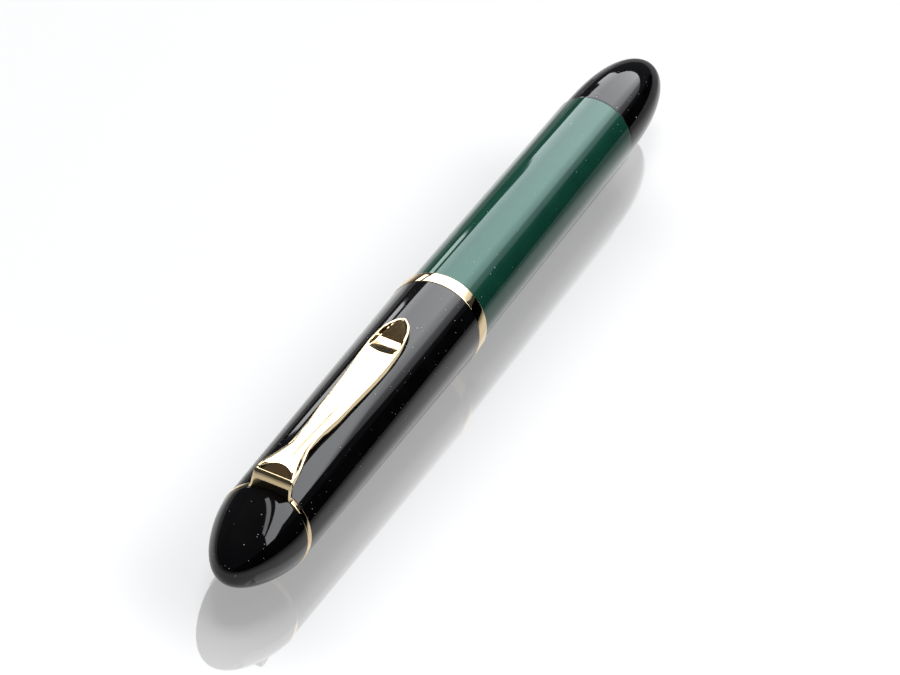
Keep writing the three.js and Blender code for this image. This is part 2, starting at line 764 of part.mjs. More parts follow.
const PIECES = [
  ['cap_crown', capCrown, black],
  ['cap_tube', capTube, black],
  ['cap_band', capBand, gold],
  ['inner_cap', innerCap, ebonite],
  ['clip_ring', clipRing, gold],
  ['clip', clip, gold],
  ['grip_section', section, black],
  ['nib_collar', nibCollar, ebonite],
  ['nib', nib, gold],
  ['nib_tipping', nibTipping, iridium],
  ['feed', feed, ebonite],
  ['ink_window', inkWindow, smoke],
  ['barrel', barrel, green],
  ['piston_head', pistonHead, nylon],
  ['piston_seal', pistonSeal, rubber],
  ['piston_rod', pistonRod, nylon],
  ['piston_guide', pistonGuide, grey],
  ['guide_lock_ring', guideLockRing, gold],
  ['piston_spindle', pistonSpindle, grey],
  ['knob_friction_ring', frictionRing, rubber],
  ['piston_knob', pistonKnob, black],
];

const pen = new THREE.Group();
pen.position.set(-PEN_LENGTH / 2, 0, AXIS_HEIGHT);
for (const [name, makeGeometry, material] of PIECES) {
  const mesh = new THREE.Mesh(makeGeometry(), material);
  mesh.name = name;
  pen.add(mesh);
}

export default pen;
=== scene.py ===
"""The looks of a piston-filling fountain pen lying closed on a white glossy table.

Shapes are written in millimetres: x from the tip of the cap's crown along the pen, y across it,
z up from its axis, and r out from its axis. place() turns them into metres in the frame.
"""

import json
import math

import bmesh
import bpy
import numpy as np
from mathutils import Matrix, Vector


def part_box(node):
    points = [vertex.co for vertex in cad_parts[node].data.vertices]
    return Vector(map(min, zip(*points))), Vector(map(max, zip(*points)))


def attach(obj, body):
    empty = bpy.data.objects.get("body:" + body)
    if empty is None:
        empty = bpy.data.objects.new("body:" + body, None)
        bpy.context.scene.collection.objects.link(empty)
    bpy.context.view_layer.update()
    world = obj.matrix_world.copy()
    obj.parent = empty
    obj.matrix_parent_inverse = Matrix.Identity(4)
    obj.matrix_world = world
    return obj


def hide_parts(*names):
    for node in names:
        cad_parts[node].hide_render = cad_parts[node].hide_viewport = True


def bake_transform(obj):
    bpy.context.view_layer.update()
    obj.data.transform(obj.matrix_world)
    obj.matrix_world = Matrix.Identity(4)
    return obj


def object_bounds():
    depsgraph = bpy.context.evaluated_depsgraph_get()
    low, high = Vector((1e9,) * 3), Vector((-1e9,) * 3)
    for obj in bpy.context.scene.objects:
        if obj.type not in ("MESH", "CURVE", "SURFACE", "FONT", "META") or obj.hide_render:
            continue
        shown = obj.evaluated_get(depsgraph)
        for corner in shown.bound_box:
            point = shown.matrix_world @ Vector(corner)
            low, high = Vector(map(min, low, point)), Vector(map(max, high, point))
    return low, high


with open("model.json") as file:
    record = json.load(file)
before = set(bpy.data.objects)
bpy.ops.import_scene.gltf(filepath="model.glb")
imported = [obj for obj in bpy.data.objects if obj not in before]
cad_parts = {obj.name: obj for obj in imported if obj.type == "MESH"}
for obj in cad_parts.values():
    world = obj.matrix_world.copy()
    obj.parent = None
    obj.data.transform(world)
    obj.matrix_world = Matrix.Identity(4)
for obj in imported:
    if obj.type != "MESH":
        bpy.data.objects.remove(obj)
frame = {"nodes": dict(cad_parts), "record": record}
cad_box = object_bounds()

# ---------------------------------------------------------------- the frame

MM = 0.001
RECORD = frame["record"]
BODY = {node: body for body, nodes in RECORD["behaviour"]["bodies"].items() for node in nodes}
SLOT = {part["node"]: part["material_slot"] for part in RECORD["subparts"]}

TIP_X = cad_box[0].x
BAND_LOW, BAND_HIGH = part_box("cap_band")
AXIS_Z = (BAND_LOW.z + BAND_HIGH.z) / 2
PEN_LENGTH = (cad_box[1].x - TIP_X) / MM
CAD_FACETS = 48                    # round every turned CAD solid
FLAT = math.cos(math.pi / CAD_FACETS)  # a facet's middle is this share of the round radius


def start_of(node):
    return (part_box(node)[0].x - TIP_X) / MM


def end_of(node):
    return (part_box(node)[1].x - TIP_X) / MM


def radius_of(node):
    low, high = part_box(node)
    return (high.y - low.y) / 2 / MM


def place(point):
    """A point in millimetres from the crown's tip and the axis, as metres in the frame."""
    x, y, z = point
    return (TIP_X + x * MM, y * MM, AXIS_Z + z * MM)


# ---------------------------------------------------------------- driving dimensions

CROWN_LENGTH = start_of("clip_ring")
CROWN_POWER = 1.37                 # the dome's fullness
CROWDING = 2.2                     # how much the rings crowd towards a rounded end
SLEEVE_END = end_of("cap_crown")   # the crown's sleeve, inside the tube
SLEEVE_R = 4.75
SLEEVE_BORE_R = 4.25
RING_END = end_of("clip_ring")
RING_R = 5.82
RING_BORE_R = 4.9
LINER_SHOULDER_X = 16.3            # where the liner fills the tube's bore
LINER_BORE_R = 3.5
CAP_FRONT_R = radius_of("cap_crown")
CAP_END = start_of("cap_band")
LIP_X = end_of("cap_band")
LIP_R = radius_of("cap_band")
CAP_BORE_R = 4.95
CAP_THREAD_X = 44.5                # where the bore widens for the cap's thread
BAND_BORE_R = 5.95
MOUTH_BORE_R = 5.55
THREAD_BORE_R = 5.4

SECTION_X = start_of("grip_section")
SECTION_END = start_of("ink_window")
THREAD_X = 46.0
THREAD_END = 52.0
THREAD_ROOT_R = 4.85
THREAD_CREST_R = 5.18
THREAD_LEAD = 3.2
THREAD_STARTS = 3
WINDOW_R = 5.25

BARREL_X = start_of("barrel")
BARREL_END = end_of("barrel")
BARREL_FRONT_R = radius_of("barrel")
BARREL_TAIL_R = 5.54 * FLAT
CHAMBER_R = 4.1
MECHANISM_X = 89.0                 # where the bore widens for the filling mechanism
MECHANISM_R = 4.75

KNOB_X = start_of("piston_knob")
KNOB_R = radius_of("piston_knob")
KNOB_POWER = 2.53                  # fullness of the knob's rounded end
SPINDLE_X = start_of("piston_spindle")
SPINDLE_END = end_of("piston_spindle")
SPINDLE_R = 2.9
SPINDLE_CREST_R = 3.22
SPINDLE_BORE_R = 2.15
SPINDLE_THREAD_END = 104.0
SPINDLE_LEAD = 1.5

NIB_X = 8.4
NIB_END = SECTION_X + 9
NIB_SHEET = 0.3
NIB_SLIT_HALF = 0.05
BREATHER_X = NIB_X + 9.3           # the hole at the end of the slit
BREATHER_R = 0.6

CLIP_TOP = (cad_box[1].z - AXIS_Z) / MM
CLIP_SHEET = 0.75
CLIP_TIP = end_of("clip")

SEGMENTS = 192                     # round a large turned piece
SMALL_SEGMENTS = 96                # round a small one
ARC_STEPS = 5                      # along a rounded corner
ON_AXIS = 1e-6                     # a smaller radius is a point on the axis


# ---------------------------------------------------------------- mesh helpers

def rounded(outline):
    """The outline with each corner that has a third value rounded to that radius."""
    points = []
    count = len(outline)
    for i, corner in enumerate(outline):
        here = np.array(corner[:2], float)
        if len(corner) < 3:
            points.append(tuple(here))
            continue
        back = np.array(outline[i - 1][:2], float) - here
        ahead = np.array(outline[(i + 1) % count][:2], float) - here
        back /= np.linalg.norm(back)
        ahead /= np.linalg.norm(ahead)
        half = math.acos(float(np.clip(back @ ahead, -1, 1))) / 2
        middle = (back + ahead) / np.linalg.norm(back + ahead)
        centre = here + middle * corner[2] / math.sin(half)
        first = here + back * corner[2] / math.tan(half) - centre
        last = here + ahead * corner[2] / math.tan(half) - centre
        sweep = math.pi - 2 * half
        for step in range(ARC_STEPS + 1):
            t = step / ARC_STEPS
            mixed = first * math.sin((1 - t) * sweep) + last * math.sin(t * sweep)
            points.append(tuple(centre + mixed / math.sin(sweep)))
    return points


def skin(rings, closed=False):
    """Faces over rings of equal length. A ring of one point is a pole, and closed joins last to first."""
    points = []
    firsts = []
    for ring in rings:
        firsts.append(len(points))
        points.extend(ring)
    pairs = list(zip(range(len(rings) - 1), range(1, len(rings))))
    if closed:
        pairs.append((len(rings) - 1, 0))

    def corner(ring, k):
        return firsts[ring] + k % len(rings[ring])

    faces = []
    for a, b in pairs:
        for k in range(max(len(rings[a]), len(rings[b]))):
            face = [corner(a, k), corner(a, k + 1), corner(b, k + 1), corner(b, k)]
            faces.append(list(dict.fromkeys(face)))
    return points, faces


def ring_at(x, r, segments):
    """A circle round the axis, or a pole on it. r may be one radius or one for each angle."""
    if np.isscalar(r) and r < ON_AXIS:
        return [(x, 0.0, 0.0)]
    angles = 2 * math.pi * (np.arange(segments) + 0.5) / segments
    radii = np.broadcast_to(r, angles.shape)
    return [(x, float(q * math.sin(a)), float(q * math.cos(a))) for q, a in zip(radii, angles)]


def turned(outline, segments=SEGMENTS):
    """A piece turned about the axis. An outline that isn't on the axis at both ends closes on itself."""
    corners = rounded(outline)
    on_axis = corners[0][1] < ON_AXIS and corners[-1][1] < ON_AXIS
    return skin([ring_at(x, r, segments) for x, r in corners], closed=not on_axis)


def threaded(before, after, start, end, root, crest, lead, starts, segments=SEGMENTS):
    """A turned piece with a screw thread between two parts of its outline.

    The thread has flat crests and roots, and rises from the root over a third of its length.
    """
    PITCH_STEPS = 12
    TAPER = 3
    angles = 2 * math.pi * (np.arange(segments) + 0.5) / segments
    count = round((end - start) / (lead / starts) * PITCH_STEPS)
    rings = [ring_at(x, r, segments) for x, r in rounded(before)]
    for i in range(count + 1):
        x = start + (end - start) * i / count
        fade = min(1.0, TAPER * i / count, TAPER * (1 - i / count))
        phase = x / lead * starts - starts * angles / (2 * math.pi)
        wave = np.clip(0.5 + 0.75 * np.cos(2 * math.pi * phase), 0, 1)
        rings.append(ring_at(x, root + (crest - root) * fade * wave, segments))
    rings += [ring_at(x, r, segments) for x, r in rounded(after)]
    return skin(rings, closed=True)


def add_object(name, data):
    made = bpy.data.objects.new(name, data)
    bpy.context.scene.collection.objects.link(made)
    return made


def solid_mesh(name, shape):
    """A mesh of the shape, in the frame, with merged points and its faces pointing out."""
    SAME_POINT = 1e-8
    points, faces = shape
    mesh = bpy.data.meshes.new(name)
    mesh.from_pydata([place(point) for point in points], [], faces)
    work = bmesh.new()
    work.from_mesh(mesh)
    bmesh.ops.remove_doubles(work, verts=work.verts, dist=SAME_POINT)
    bmesh.ops.recalc_face_normals(work, faces=work.faces)
    work.to_mesh(mesh)
    work.free()
    return mesh


def add_piece(node, shape, material, crease=32, ride=True):
    """Makes the finished piece that stands for a CAD node, with the given material, on that node's body
    unless ride is False.
    """
    mesh = solid_mesh(f"fine_{node}", shape)
    mesh.shade_smooth()
    mesh.set_sharp_from_angle(angle=math.radians(crease))
    mesh.materials.append(material)
    piece = add_object(mesh.name, mesh)
    if ride:
        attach(piece, BODY[node])
    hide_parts(node)
    return piece


def bored(piece, *tools):
    """Cuts tool shapes out of a piece and leaves its mesh final."""
    for shape in tools:
        tool = add_object("tool", solid_mesh("tool", shape))
        modifier = piece.modifiers.new("cut", "BOOLEAN")
        modifier.operation = "DIFFERENCE"
        modifier.solver = "EXACT"
        modifier.object = tool
        bpy.context.view_layer.update()
        evaluated = piece.evaluated_get(bpy.context.evaluated_depsgraph_get())
        final = bpy.data.meshes.new_from_object(evaluated)
        piece.modifiers.clear()
        piece.data = final
        bpy.data.objects.remove(tool)


def box_shape(start, end, half, low, high):
    """A box across the middle plane, half wide on each side of it."""
    rings = []
    for x in (start, end):
        rings.append([(x, -half, low), (x, half, low), (x, half, high), (x, -half, high)])
    points, faces = skin(rings)
    return points, faces + [[0, 1, 2, 3], [4, 5, 6, 7]]


def smooth_through(knots):
    """A function through (place, value) knots, without overshoot between them."""
    x = np.array([k[0] for k in knots], float)
    y = np.array([k[1] for k in knots], float)
    step = np.diff(x)
    slope = np.diff(y) / step
    tangent = np.zeros(len(x))
    tangent[0], tangent[-1] = slope[0], slope[-1]
    for i in range(1, len(x) - 1):
        if slope[i - 1] * slope[i] > 0:
            tangent[i] = 2 * slope[i - 1] * slope[i] / (slope[i - 1] + slope[i])

    def value(at):
        i = int(np.clip(np.searchsorted(x, at) - 1, 0, len(step) - 1))
        t = float(np.clip((at - x[i]) / step[i], 0, 1))
        start = (1 + 2 * t) * (1 - t) ** 2 * y[i] + t * (1 - t) ** 2 * step[i] * tangent[i]
        return start + t * t * (3 - 2 * t) * y[i + 1] + t * t * (t - 1) * step[i] * tangent[i + 1]

    return value


# ---------------------------------------------------------------- node helpers

class Surface:
    """A node material being built, with its shader and the object's own coordinates in metres."""

    def __init__(self, name, **sockets):
        self.material = bpy.data.materials.new(name)
        self.material.use_nodes = True
        self.tree = self.material.node_tree
        self.shader = self.tree.nodes["Principled BSDF"]
        self.where = self.add("ShaderNodeTexCoord").outputs["Object"]
        for socket, value in sockets.items():
            self.shader.inputs[socket.replace("_", " ")].default_value = value

    def add(self, kind, inputs=None, **settings):
        """A node with its settings, and with each input linked to a socket or set to a value."""
        node = self.tree.nodes.new(kind)
        for key, value in settings.items():
            setattr(node, key, value)
        for key, value in (inputs or {}).items():
            if isinstance(value, bpy.types.NodeSocket):
                self.tree.links.new(value, node.inputs[key])
            else:
                node.inputs[key].default_value = value
        return node

    def stretched(self, scale):
        """The coordinates scaled along each axis."""
        return self.add("ShaderNodeMapping", {"Vector": self.where, "Scale": scale}).outputs["Vector"]

    def noise(self, scale, detail=3.0, where=None):
        inputs = {"Vector": where or self.where, "Scale": scale, "Detail": detail}
        return self.add("ShaderNodeTexNoise", inputs).outputs["Fac"]

    def remap(self, value, low, high, to_low, to_high):
        inputs = {"Value": value, "From Min": low, "From Max": high, "To Min": to_low, "To Max": to_high}
        return self.add("ShaderNodeMapRange", inputs).outputs["Result"]

    def math(self, operation, a, b):
        return self.add("ShaderNodeMath", {0: a, 1: b}, operation=operation).outputs["Value"]

    def blend(self, factor, a, b):
        """A mix of two colours, each a socket or three numbers."""
        COLOUR_A, COLOUR_B, COLOUR_RESULT = 6, 7, 2
        node = self.add("ShaderNodeMix", {"Factor": factor}, data_type="RGBA")
        for socket, value in zip((node.inputs[COLOUR_A], node.inputs[COLOUR_B]), (a, b)):
            if isinstance(value, bpy.types.NodeSocket):
                self.tree.links.new(value, socket)
            else:
                socket.default_value = (*value, 1)
        return node.outputs[COLOUR_RESULT]

    def tinted(self, noise, a, b):
        """A mix of two colours by a noise, over the middle of the noise's range."""
        return self.blend(self.remap(noise, 0.3, 0.7, 0, 1), a, b)

    def specks(self, scale, size, share):
        """A mask of round specks: scale is cells per metre, size a share of a cell, share how many show."""
        node = self.add("ShaderNodeTexVoronoi", {"Vector": self.where, "Scale": scale})
        pick = self.add("ShaderNodeSeparateColor", {"Color": node.outputs["Color"]})
        shown = self.math("LESS_THAN", pick.outputs["Red"], share)
        reach = self.math("MULTIPLY", pick.outputs["Green"], size)
        inside = self.math("LESS_THAN", node.outputs["Distance"], reach)
        return self.math("MULTIPLY", shown, inside)

    def bump(self, height, strength, distance):
        inputs = {"Height": height, "Strength": strength, "Distance": distance}
        normal = self.add("ShaderNodeBump", inputs).outputs["Normal"]
        self.tree.links.new(normal, self.shader.inputs["Normal"])

    def use(self, socket, value):
        """Drives one of the shader's inputs."""
        self.tree.links.new(value, self.shader.inputs[socket])


# ---------------------------------------------------------------- materials

def polished_resin(name, deep, bright, dust, **sockets):
    """Polished resin: faint clouding of the colour, soft wipe marks in the gloss and dust on top."""
    BIG_DUST = (900, 0.075)        # cells per metre, and the size of a speck in its cell
    FINE_DUST = (2600, 0.13)
    DUST_COLOUR = (0.36, 0.36, 0.37)
    DUST_ROUGHNESS = 0.7
    s = Surface(name, **sockets)
    specks = s.math("MAXIMUM", s.specks(*BIG_DUST, dust), s.specks(*FINE_DUST, dust))
    s.use("Base Color", s.blend(specks, s.tinted(s.noise(260, 4), deep, bright), DUST_COLOUR))
    wipes = s.noise(1, 3, s.stretched((90, 1400, 1400)))
    gloss = s.remap(wipes, 0.25, 0.75, 0.022, 0.06)
    s.use("Roughness", s.math("MAXIMUM", gloss, s.math("MULTIPLY", specks, DUST_ROUGHNESS)))
    s.bump(s.math("ADD", s.math("MULTIPLY", wipes, 0.15), specks), 0.25, 0.000012)
    return s.material


def gold_plate(name, light, warm, rough):
    """Polished gold plate: warmer patches, hairline marks along the pen and a faint orange-peel."""
    s = Surface(name, Metallic=1.0)
    s.use("Base Color", s.tinted(s.noise(420, 3), light, warm))
    hairs = s.noise(1, 2, s.stretched((500, 9000, 9000)))
    s.use("Roughness", s.remap(hairs, 0.3, 0.75, rough * 0.7, rough * 1.8))
    s.bump(s.noise(1500, 2), 0.1, 0.00001)
    return s.material


def moulded(name, dark, light, rough, grain, depth):
    """Moulded or turned plastic and rubber: mottled colour and an even fine grain."""
    s = Surface(name)
    mottle = s.noise(700, 4)
    s.use("Base Color", s.tinted(mottle, dark, light))
    s.use("Roughness", s.remap(mottle, 0.3, 0.7, rough * 0.85, rough * 1.15))
    s.bump(s.noise(grain, 3), 0.35, depth)
    return s.material


def tinted_window():
    """Dark smoky resin that light passes through, with faint streaks along the pen."""
    s = Surface("tinted_window", IOR=1.49, Transmission_Weight=0.75)
    streaks = s.noise(1, 3, s.stretched((120, 900, 900)))
    s.use("Base Color", s.tinted(streaks, (0.10, 0.17, 0.14), (0.16, 0.25, 0.20)))
    s.use("Roughness", s.remap(streaks, 0.3, 0.7, 0.03, 0.09))
    s.bump(streaks, 0.1, 0.00001)
    return s.material


def turned_metal(name, dark, light, rough):
    """Lathe-turned metal: fine rings round the pen's axis."""
    s = Surface(name, Metallic=1.0)
    rings = s.noise(1, 3, s.stretched((9000, 60, 60)))
    s.use("Base Color", s.tinted(rings, dark, light))
    s.use("Roughness", s.remap(rings, 0.3, 0.7, rough * 0.8, rough * 1.3))
    s.bump(rings, 0.3, 0.00001)
    return s.material


MATERIALS = {
    "black_resin": polished_resin("black_resin", (0.0008, 0.0008, 0.001), (0.002, 0.002, 0.0024), 0.4,
                                  IOR=1.5),
    "green_resin": polished_resin("green_resin", (0.004, 0.031, 0.02), (0.0055, 0.041, 0.026), 0.15,
                                  IOR=1.58, Specular_Tint=(0.55, 1, 0.9, 1)),
    "gilt_trim": gold_plate("gilt_trim", (0.96, 0.78, 0.50), (0.93, 0.71, 0.41), 0.05),
    "nib_gold": gold_plate("nib_gold", (0.94, 0.74, 0.42), (0.90, 0.66, 0.34), 0.08),
    "tipping_metal": turned_metal("tipping_metal", (0.52, 0.52, 0.54), (0.7, 0.7, 0.72), 0.22),
    "black_ebonite": moulded("black_ebonite", (0.008, 0.008, 0.008), (0.02, 0.019, 0.018), 0.42, 4000,
                             0.00002),
    "ink_window": tinted_window(),
    "white_nylon": moulded("white_nylon", (0.62, 0.6, 0.54), (0.74, 0.72, 0.66), 0.45, 3000, 0.00002),
    "grey_nylon": moulded("grey_nylon", (0.06, 0.063, 0.068), (0.11, 0.115, 0.12), 0.48, 3500, 0.00003),
    "seal_rubber": moulded("seal_rubber", (0.008, 0.008, 0.008), (0.018, 0.018, 0.018), 0.7, 5000, 0.00002),
    "brass_insert": turned_metal("brass_insert", (0.66, 0.47, 0.2), (0.78, 0.6, 0.3), 0.28),
}


# ---------------------------------------------------------------- cap

def cap_radius(x):
    """The straight taper from the clip's ring to the lip."""
    return CAP_FRONT_R + (LIP_R - CAP_FRONT_R) * (x - RING_END) / (LIP_X - RING_END)


def crown():
    """The dome and the sleeve behind it that holds the clip's ring."""
    STEPS = 72
    HOLLOW_X = 4.2
    HOLLOW_END_R = 2.6
    HOLLOW_CONE_X = 7.5
    dome = []
    for i in range(STEPS):
        x = CROWN_LENGTH * (i / STEPS) ** CROWDING
        dome.append((x, CAP_FRONT_R * math.sqrt(1 - (1 - x / CROWN_LENGTH) ** CROWN_POWER)))
    sleeve = [
        (CROWN_LENGTH, CAP_FRONT_R, 0.06),
        (CROWN_LENGTH, SLEEVE_R),
        (SLEEVE_END, SLEEVE_R),
        (SLEEVE_END, SLEEVE_BORE_R),
        (HOLLOW_CONE_X, SLEEVE_BORE_R),
        (HOLLOW_X, HOLLOW_END_R),
        (HOLLOW_X, 0),
    ]
    return turned(dome + sleeve)


def clip_ring():
    """The plain ring that the crown clamps against the tube."""
    return turned([
        (CROWN_LENGTH + 0.02, RING_BORE_R),
        (CROWN_LENGTH + 0.02, RING_R, 0.2),
        (RING_END - 0.02, RING_R, 0.2),
        (RING_END - 0.02, RING_BORE_R),
    ])


def cap_tube():
    """The tapering tube with its bore, and a shallow thread inside that clears the section's."""
    BAND_SEAT_R = 5.87             # the tube's end, turned down inside the band
    BAND_SEAT_WIDTH = 1.1
    CREST_R = 5.28
    outer = [
        (LINER_SHOULDER_X, RING_BORE_R),
        (RING_END, RING_BORE_R),
        (RING_END, CAP_FRONT_R, 0.08),
        (CAP_END - 0.02, cap_radius(CAP_END), 0.05),
        (CAP_END - 0.02, BAND_SEAT_R),
        (CAP_END + BAND_SEAT_WIDTH, BAND_SEAT_R),
        (CAP_END + BAND_SEAT_WIDTH, MOUTH_BORE_R, 0.1),
        (THREAD_END + 1, MOUTH_BORE_R),
        (THREAD_END + 1, THREAD_BORE_R),
    ]
    inner = [
        (CAP_THREAD_X - 0.5, CAP_BORE_R),
        (LINER_SHOULDER_X, CAP_BORE_R),
    ]
    return threaded(outer, inner, THREAD_END + 0.8, CAP_THREAD_X, THREAD_BORE_R, CREST_R, THREAD_LEAD,
                    THREAD_STARTS)


def cap_band():
    """The ring round the cap's open end."""
    return turned([
        (CAP_END, BAND_BORE_R),
        (CAP_END, LIP_R, 0.1),
        (LIP_X, LIP_R, 0.16),
        (LIP_X, BAND_BORE_R, 0.08),
    ])


def inner_cap():
    """The liner that seals the nib: narrow inside the crown's sleeve, wider in the tube."""
    FRONT_R = 4.1
    SEAT_R = 4.8
    WALL = 0.8
    front, end = start_of("inner_cap"), end_of("inner_cap")
    return turned([
        (front, 0),
        (front, LINER_BORE_R, 0.2),
        (front + WALL, FRONT_R),
        (LINER_SHOULDER_X, FRONT_R),
        (LINER_SHOULDER_X, SEAT_R, 0.1),
        (end, SEAT_R, 0.2),
        (end, LINER_BORE_R, 0.25),
        (front + WALL, LINER_BORE_R, 0.3),
        (front + WALL, 0),
    ], SMALL_SEGMENTS)


# ---------------------------------------------------------------- clip

# Half widths up the neck by z, then the arm's height over the axis and its half widths by x.
NECK_FRONT = CROWN_LENGTH + 0.02
ARM_START = NECK_FRONT + 0.3       # past the fold
NECK_FOOT = 4.3
NECK_TOP = 6.76
NECK_HALF = smooth_through([(NECK_FOOT, 3.5), (4.8, 3.15), (5.15, 2.76), (5.6, 2.6), (6.4, 2.54), (7.2, 2.5)])
ARM_TOP = smooth_through([
    (NECK_FRONT, 6.8),
    (NECK_FRONT + 0.13, 7.48),
    (NECK_FRONT + 0.2, 7.66),
    (NECK_FRONT + 0.3, 7.78),
    (NECK_FRONT + 0.42, 7.83),
    (NECK_FRONT + 0.66, 7.85),
    (13.2, CLIP_TOP),
    (16, 7.84),
    (20, 7.5),
    (24, 7.34),
    (30, 7.17),
    (34, 7.1),
    (37, 7.2),
    (40, 7.41),
    (43.5, 7.72),
    (CLIP_TIP, 7.97),
])
ARM_HALF = smooth_through([
    (NECK_FRONT, 2.5),
    (11.4, 2.42),
    (13.2, 2.3),
    (15.8, 1.75),
    (18.4, 1.26),
    (20.2, 1.18),
    (22, 1.2),
    (24, 1.36),
    (26.5, 1.55),
    (30, 1.68),
    (33, 1.82),
    (36, 1.95),
    (39, 2.05),
    (41, 2.05),
])
TIP_ROUND_X = 41.0                 # where the arm's outline starts to close round the tip
TIP_POWER = 2.2                    # fullness of that end
CLIP_EDGE = 0.1                    # radius of the strip's long edges
FLANK_LEAN = math.tan(math.radians(20))
ARM_BEVEL = smooth_through([(11.5, CLIP_EDGE), (14, 0.62), (17.5, 0.45), (21, 0.12), (48, 0.08)])
BEVEL_SLOPE = 0.62
SEAT_X = 42.5                      # where the arm's lower face bulges towards the cap
SEAT_DROP = 0.36
SEAT_REACH = 2.6

SCOOP_X = NECK_FRONT + 0.58        # hollow behind the fold
SCOOP_LENGTH = 2.0
SCOOP_HALF = 2.25
SCOOP_DEPTH = 0.42
SCOOP_RUN = 1.15 * SCOOP_LENGTH    # over which its floor rises to nothing
SCOOP_WALL = 0.24
SPOON_X = 40.2                     # back edge of the dished end
SPOON_FALL = 2.1                   # length of its back slope
SPOON_BOW = 0.4                    # how far that slope's edge bows forward at the sides
SPOON_BOTTOM_END = 43.6
SPOON_END = 46.9
SPOON_RIM = 0.22
SPOON_WALL = 0.2                   # width of its side walls
SPOON_DEPTH = 0.66
SPOON_STEP_DEPTH = 0.07            # what is left of the depth at the front rim

CREASE_START = 15.4                # a fine groove along the arm
CREASE_END = 33.0
CREASE_FADE = 8.0                  # length over which it runs out
CREASE_HALF = 0.1
CREASE_DEPTH = 0.1


def arm_half(x):
    """The arm's half width, closing round its tip."""
    if x <= TIP_ROUND_X:
        return ARM_HALF(x)
    past = (x - TIP_ROUND_X) / (CLIP_TIP - TIP_ROUND_X)
    return max(ARM_HALF(TIP_ROUND_X) * math.sqrt(max(0.0, 1 - past ** TIP_POWER)), 0.02)


def eased(value):
    """A smooth step from 0 to 1 as the value goes from 0 to 1."""
    t = min(max(value, 0.0), 1.0)
    return t * t * (3 - 2 * t)


def scoop(x, y):
    """Depth of the lens-shaped hollow behind the fold: a flat floor that rises to a curved rear edge."""
    rear = SCOOP_X + SCOOP_LENGTH * (1 - (y / SCOOP_HALF) ** 2)
    floor = SCOOP_DEPTH * (1 - (x - SCOOP_X) / SCOOP_RUN)
    return max(floor, 0.0) * eased((x - SCOOP_X) / SCOOP_WALL) * eased((rear - x) / SCOOP_WALL)


def spoon(x, y):
    """Depth of the dished end: a steep back wall, a flat bottom and a long rise to the front rim."""
    across = arm_half(x + SPOON_RIM) - SPOON_RIM
    if x < SPOON_X or across < 0.05:
        return 0.0
    rise = min(max((x - SPOON_BOTTOM_END) / (SPOON_END - SPOON_BOTTOM_END), 0.0), 1.0)
    depth = SPOON_DEPTH + (SPOON_STEP_DEPTH - SPOON_DEPTH) * rise
    back = min(max((x - SPOON_X - SPOON_BOW * (y / across) ** 2) / SPOON_FALL, 0.0), 1.0)
    return depth * back * eased((across - abs(y)) / SPOON_WALL)


def clip_stations():
    """Points along the outer face: up the neck, over the fold and out to the tip, with half widths."""
    FOLD_LENGTH = 0.28
    FOLD_STEPS = 12
    FLARE_END, FLARE_STEP = 14.2, 0.07
    ARM_END, ARM_STEP = 39.2, 0.45
    DISH_START, DISH_STEP = 39.3, 0.09
    TIP_LENGTH = 0.7
    TIP_STEPS = 16
    neck = [(NECK_FRONT, float(z), NECK_HALF(float(z))) for z in np.linspace(NECK_FOOT, NECK_TOP, 21)]
    places = [NECK_FRONT + FOLD_LENGTH * (i / FOLD_STEPS) ** 2 for i in range(FOLD_STEPS)]
    places += list(np.arange(NECK_FRONT + FOLD_LENGTH, FLARE_END, FLARE_STEP))
    places += list(np.arange(FLARE_END, ARM_END, ARM_STEP))
    places += list(np.arange(DISH_START, CLIP_TIP - TIP_LENGTH, DISH_STEP))
    places += [CLIP_TIP - TIP_LENGTH * (1 - i / TIP_STEPS) ** 2 for i in range(TIP_STEPS + 1)]
    return neck + [(x, ARM_TOP(x), arm_half(x)) for x in places]


def clip_top(x, flat, on_arm):
    """The outer face across the strip at one station, with its hollows and the groove."""
    STEPS = 44
    GROOVE_STEP = 15
    GROOVE_SHARES = (-1.0, -0.5, 0.0, 0.5, 1.0)
    across = np.linspace(-flat, flat, STEPS + 1)
    depths = np.array([scoop(x, s) + spoon(x, s) if on_arm else 0.0 for s in across])
    if CREASE_START < x < CREASE_END:
        deep = CREASE_DEPTH * min(1.0, (CREASE_END - x) / CREASE_FADE)
        for k, share in enumerate(GROOVE_SHARES, GROOVE_STEP - len(GROOVE_SHARES) // 2):
            across[k] = across[GROOVE_STEP] + CREASE_HALF * share
            depths[k] += deep * (1 - abs(share))
    return [(float(s), -float(depth)) for s, depth in zip(across, depths)]


